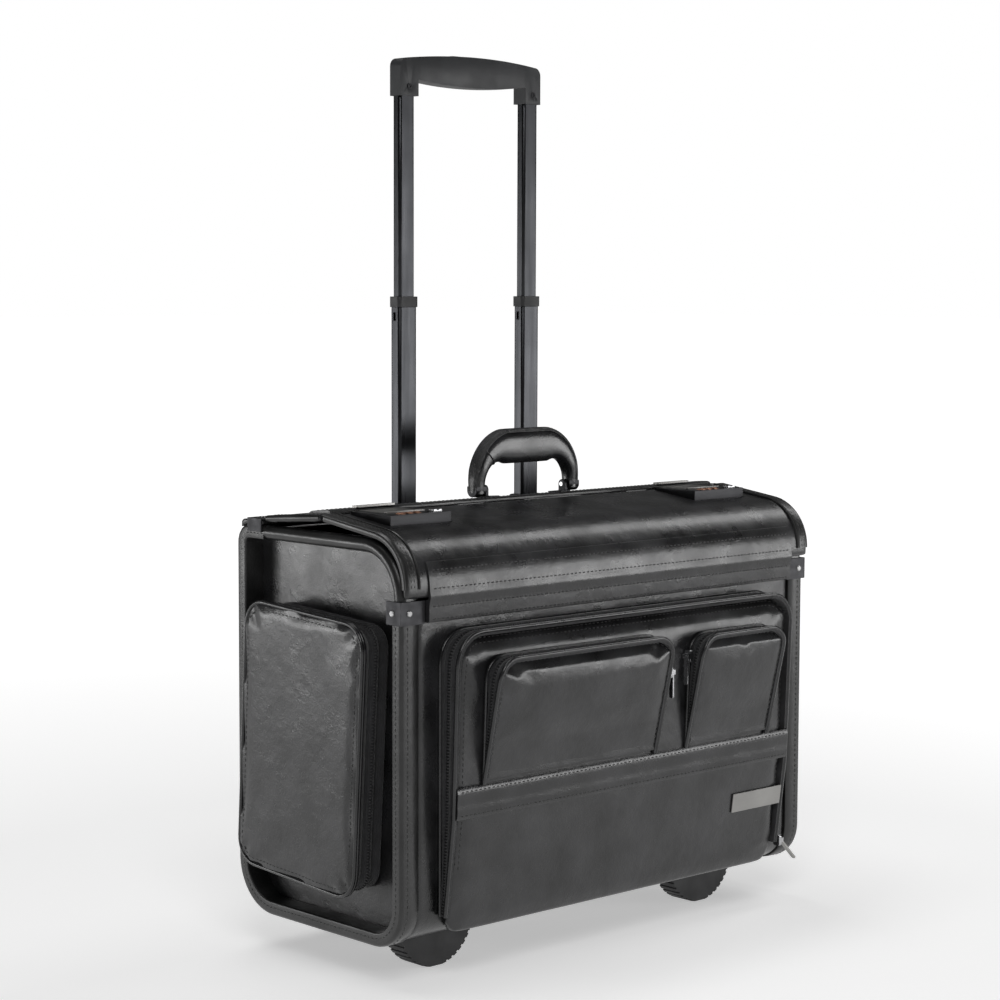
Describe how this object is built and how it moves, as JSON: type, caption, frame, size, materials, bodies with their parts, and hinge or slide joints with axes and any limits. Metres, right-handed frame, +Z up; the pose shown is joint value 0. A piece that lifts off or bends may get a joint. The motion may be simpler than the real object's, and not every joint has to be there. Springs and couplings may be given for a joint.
{
  "type": "pilot rolling flight case",
  "caption": "Leather-covered wheeled pilot case with a two-part top lid, locks, pockets, carry handle and a telescopic pull handle.",
  "frame": {"origin": "bottom centre of the whole case at rest, on the floor plane", "axes": "+Z up, -Y the front with the pockets, +X the wearer's right when facing the front"},
  "size_m": [0.4866, 0.2464, 0.7425],
  "materials": {
    "black_leather": "glossy, soft mottling",
    "edge_leather": "satin binding",
    "zip_tape": "ribbed woven tape",
    "bracket_metal": "satin dark grey",
    "bright_metal": "polished",
    "lock_metal": "gunmetal satin",
    "plate_metal": "satin nickel",
    "dial_metal": "copper tinted",
    "tube_metal": "dark anodised",
    "inner_tube": "mill finish",
    "steel": "zinc plated",
    "dark_plastic": "fine texture",
    "grip_plastic": "fine texture",
    "foot_rubber": "matt",
    "wheel_tyre": "matt"
  },
  "bodies": {
    "case": {"shell_wrap": "black_leather", "side_panel_left": "black_leather", "side_panel_right": "black_leather", "side_rims": "edge_leather", "side_rails": "edge_leather", "corner_brackets": "bracket_metal", "bracket_rivets": "bright_metal", "rear_deck": "black_leather", "tube_bezels": "dark_plastic", "outer_tubes": "inner_tube", "tube_foot_bracket": "steel", "wheel_housings": "dark_plastic", "wheel_axles": "steel", "front_feet": "foot_rubber", "foot_screws": "steel", "front_pocket": "black_leather", "front_pocket_zip": "zip_tape", "belt_strap": "black_leather", "small_pocket_left": "black_leather", "small_pocket_right": "black_leather", "nameplate": "plate_metal", "side_pocket": "zip_tape", "side_pocket_panel": "black_leather", "front_hinge_band": "black_leather"},
    "front_lid": {"front_lid_board": "black_leather", "lock_bodies": "lock_metal"},
    "rear_lid": {"rear_lid_board": "black_leather", "centre_rail": "edge_leather", "catch_plates": "bright_metal", "handle_brackets": "bright_metal", "handle_pins": "bright_metal"},
    "carry_handle": {"carry_handle_grip": "black_leather", "carry_handle_ends": "bright_metal"},
    "middle_stage": {"middle_tubes": "tube_metal", "tube_collars": "dark_plastic"},
    "upper_stage": {"upper_tubes": "tube_metal", "grip_shell": "grip_plastic", "grip_screws": "steel"},
    "release": {"release_button": "dark_plastic", "release_rods": "steel"},
    "wheel_left": {"wheel_hub_left": "dark_plastic", "tyre_left": "wheel_tyre"},
    "latch_left": {"latch_left": "lock_metal"},
    "lock_button_left": {"lock_button_left": "bright_metal"},
    "dial_left_1": {"dial_left_1": "dial_metal"},
    "dial_left_2": {"dial_left_2": "dial_metal"},
    "dial_left_3": {"dial_left_3": "dial_metal"},
    "wheel_right": {"wheel_hub_right": "dark_plastic", "tyre_right": "wheel_tyre"},
    "latch_right": {"latch_right": "lock_metal"},
    "lock_button_right": {"lock_button_right": "bright_metal"},
    "dial_right_1": {"dial_right_1": "dial_metal"},
    "dial_right_2": {"dial_right_2": "dial_metal"},
    "dial_right_3": {"dial_right_3": "dial_metal"},
    "zip_slider_main": {"zip_slider_main": "bright_metal"},
    "zip_pull_main": {"zip_pull_main": "plate_metal"},
    "zip_slider_left": {"zip_slider_left": "bright_metal"},
    "zip_pull_left": {"zip_pull_left": "bright_metal"},
    "zip_slider_right": {"zip_slider_right": "bright_metal"},
    "zip_pull_right": {"zip_pull_right": "bright_metal"}
  },
  "joints": [
    {"name": "front_lid_hinge", "type": "hinge", "parent": "case", "child": "front_lid", "pos_m": [0.0057, -0.08681, 0.3105], "axis": [1, 0, 0], "range_deg": [0, 110]},
    {"name": "rear_lid_hinge", "type": "hinge", "parent": "case", "child": "rear_lid", "pos_m": [0.0057, 0.08369, 0.358], "axis": [-1, 0, 0], "range_deg": [0, 85]},
    {"name": "carry_handle_pivot", "type": "hinge", "parent": "rear_lid", "child": "carry_handle", "pos_m": [0.0057, 0.02869, 0.37523], "axis": [1, 0, 0], "range_deg": [-75, 75]},
    {"name": "middle_stage_slide", "type": "slide", "parent": "case", "child": "middle_stage", "axis": [0, 0, 1], "range_m": [-0.166, 0]},
    {"name": "upper_stage_slide", "type": "slide", "parent": "middle_stage", "child": "upper_stage", "axis": [0, 0, 1], "range_m": [-0.167, 0]},
    {"name": "release_press", "type": "slide", "parent": "upper_stage", "child": "release", "axis": [0, 0, 1], "range_m": [-0.004, 0]},
    {"name": "wheel_spin_left", "type": "hinge", "parent": "case", "child": "wheel_left", "pos_m": [-0.1333, 0.07769, 0.03], "axis": [1, 0, 0], "continuous": true},
    {"name": "latch_flip_left", "type": "hinge", "parent": "front_lid", "child": "latch_left", "pos_m": [-0.169, -0.01781, 0.3667], "axis": [1, 0, 0], "range_deg": [0, 100]},
    {"name": "lock_button_slide_left", "type": "slide", "parent": "front_lid", "child": "lock_button_left", "axis": [-1, 0, 0], "range_m": [0, 0.005]},
    {"name": "dial_turn_left_1", "type": "hinge", "parent": "front_lid", "child": "dial_left_1", "pos_m": [-0.183, -0.02981, 0.3631], "axis": [1, 0, 0], "continuous": true},
    {"name": "dial_turn_left_2", "type": "hinge", "parent": "front_lid", "child": "dial_left_2", "pos_m": [-0.175, -0.02981, 0.3631], "axis": [1, 0, 0], "continuous": true},
    {"name": "dial_turn_left_3", "type": "hinge", "parent": "front_lid", "child": "dial_left_3", "pos_m": [-0.167, -0.02981, 0.3631], "axis": [1, 0, 0], "continuous": true},
    {"name": "wheel_spin_right", "type": "hinge", "parent": "case", "child": "wheel_right", "pos_m": [0.1447, 0.07769, 0.03], "axis": [1, 0, 0], "continuous": true},
    {"name": "latch_flip_right", "type": "hinge", "parent": "front_lid", "child": "latch_right", "pos_m": [0.1804, -0.01781, 0.3667], "axis": [1, 0, 0], "range_deg": [0, 100]},
    {"name": "lock_button_slide_right", "type": "slide", "parent": "front_lid", "child": "lock_button_right", "axis": [-1, 0, 0], "range_m": [0, 0.005]},
    {"name": "dial_turn_right_1", "type": "hinge", "parent": "front_lid", "child": "dial_right_1", "pos_m": [0.1664, -0.02981, 0.3631], "axis": [1, 0, 0], "continuous": true},
    {"name": "dial_turn_right_2", "type": "hinge", "parent": "front_lid", "child": "dial_right_2", "pos_m": [0.1744, -0.02981, 0.3631], "axis": [1, 0, 0], "continuous": true},
    {"name": "dial_turn_right_3", "type": "hinge", "parent": "front_lid", "child": "dial_right_3", "pos_m": [0.1824, -0.02981, 0.3631], "axis": [1, 0, 0], "continuous": true},
    {"name": "zip_slide_main", "type": "slide", "parent": "case", "child": "zip_slider_main", "axis": [0, 0, 1], "range_m": [0, 0.15]},
    {"name": "zip_pull_swing_main", "type": "hinge", "parent": "zip_slider_main", "child": "zip_pull_main", "pos_m": [0.2097, -0.08831, 0.057], "axis": [0, -1, 0], "range_deg": [-45, 90]},
    {"name": "zip_slide_left", "type": "slide", "parent": "case", "child": "zip_slider_left", "axis": [0, 0, 1], "range_m": [-0.045, 0.01]},
    {"name": "zip_pull_swing_left", "type": "hinge", "parent": "zip_slider_left", "child": "zip_pull_left", "pos_m": [0.0417, -0.11231, 0.228], "axis": [0, -1, 0], "range_deg": [0, 60]},
    {"name": "zip_slide_right", "type": "slide", "parent": "case", "child": "zip_slider_right", "axis": [0, 0, -1], "range_m": [0, 0.045]},
    {"name": "zip_pull_swing_right", "type": "hinge", "parent": "zip_slider_right", "child": "zip_pull_right", "pos_m": [0.0647, -0.10731, 0.238], "axis": [0, 1, 0], "range_deg": [0, 45]}
  ]
}
